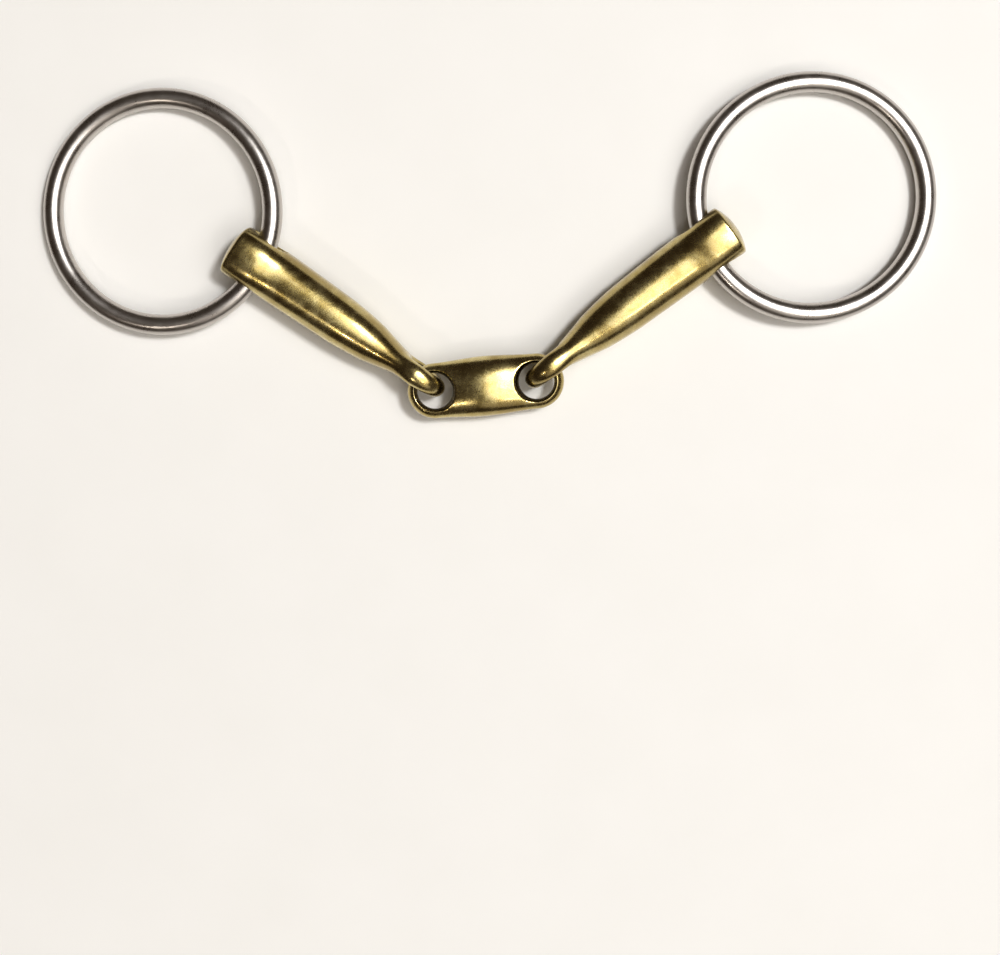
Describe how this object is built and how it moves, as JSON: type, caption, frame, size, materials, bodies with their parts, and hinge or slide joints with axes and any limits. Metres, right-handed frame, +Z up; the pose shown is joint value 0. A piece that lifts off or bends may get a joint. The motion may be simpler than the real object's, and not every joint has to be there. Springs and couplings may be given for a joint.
{
  "type": "loose-ring lozenge snaffle bit",
  "caption": "Double-jointed loose-ring bridle bit: two curved brass-alloy arms hooked to a lozenge link, with a round steel ring running through each outer end.",
  "frame": {"origin": "on the surface the bit lies on, under the middle of the box round the whole bit as it lies", "axes": "+X along the lozenge link towards the right ring, +Z up from the surface, +Y towards the side the two arms bend to"},
  "size_m": [0.216, 0.0868, 0.0131],
  "materials": {
    "mouthpiece_alloy": "cast gold-coloured copper alloy, polished and then worn to a satin gloss",
    "ring_steel": "round stainless bar, polished bright, with fine hairline wear"
  },
  "bodies": {
    "lozenge": {"lozenge_link": "mouthpiece_alloy"},
    "left_arm": {"left_arm": "mouthpiece_alloy"},
    "right_arm": {"right_arm": "mouthpiece_alloy"},
    "left_ring": {"left_ring": "ring_steel"},
    "right_ring": {"right_ring": "ring_steel"}
  },
  "joints": [
    {"name": "left_arm_swing", "type": "hinge", "parent": "lozenge", "child": "left_arm", "pos_m": [-0.01602, -0.0352, 0.0065], "axis": [0, 0, 1], "range_deg": [-7, 85]},
    {"name": "right_arm_swing", "type": "hinge", "parent": "lozenge", "child": "right_arm", "pos_m": [0.00843, -0.0354, 0.0065], "axis": [0, 0, 1], "range_deg": [-79, 13]},
    {"name": "left_ring_swing", "type": "hinge", "parent": "left_arm", "child": "left_ring", "pos_m": [-0.0558, -0.0014, 0.0065], "axis": [-0.5561, -0.8311, 0], "range_deg": [-158, 150]},
    {"name": "right_ring_swing", "type": "hinge", "parent": "right_arm", "child": "right_ring", "pos_m": [0.05282, -0.00793, 0.0065], "axis": [-0.332, 0.9433, 0], "range_deg": [-158, 150]}
  ]
}
